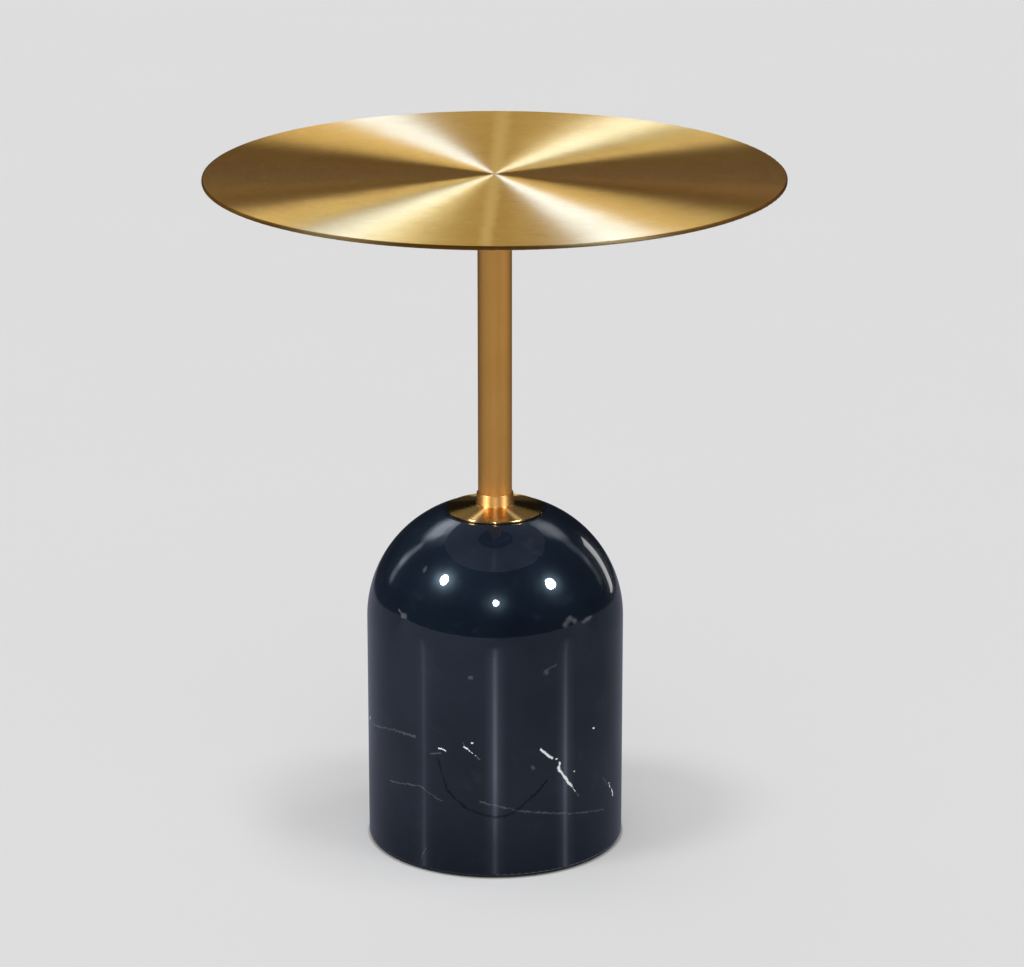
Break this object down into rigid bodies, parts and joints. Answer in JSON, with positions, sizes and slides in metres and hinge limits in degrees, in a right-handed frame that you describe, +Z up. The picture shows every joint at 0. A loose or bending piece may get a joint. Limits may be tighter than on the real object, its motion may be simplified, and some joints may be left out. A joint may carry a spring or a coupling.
{
  "type": "coffee table",
  "caption": "Round coffee table: thin brushed brass-coloured disc top on a slim tube stem, standing in a tall dark marble base with a domed shoulder.",
  "frame": {"origin": "centre of the footprint, on the floor under the soft pad", "axes": "+Z up along the stem's axis; the table is round about Z, and the picture looks along +Y"},
  "size_m": [0.42, 0.42, 0.507],
  "materials": {
    "brushed_brass_top": "brass-coloured plating, brushed in circles about the centre",
    "brass_stem": "brass-coloured plating, satin, fine grain along the stem",
    "polished_brass_collar": "brass-coloured plating, turned and polished",
    "dark_marble": "blue-black marble with sparse white veins, high polish",
    "blackened_steel": "mill steel with a thin black oxide",
    "zinc_fasteners": "bright zinc plating",
    "soft_black": "matt black soft pad"
  },
  "bodies": {
    "root": {"table_top": "brushed_brass_top", "top_plate": "blackened_steel", "stem_flange": "blackened_steel", "flange_screws": "zinc_fasteners", "flange_spring_washers": "zinc_fasteners", "stem_tube": "brass_stem", "stem_plug": "blackened_steel", "collar": "polished_brass_collar", "collar_gasket": "soft_black", "marble_base": "dark_marble", "tie_rod": "zinc_fasteners", "clamp_washer": "zinc_fasteners", "clamp_spring_washer": "zinc_fasteners", "clamp_nut": "zinc_fasteners", "floor_pad": "soft_black"}
  },
  "joints": []
}
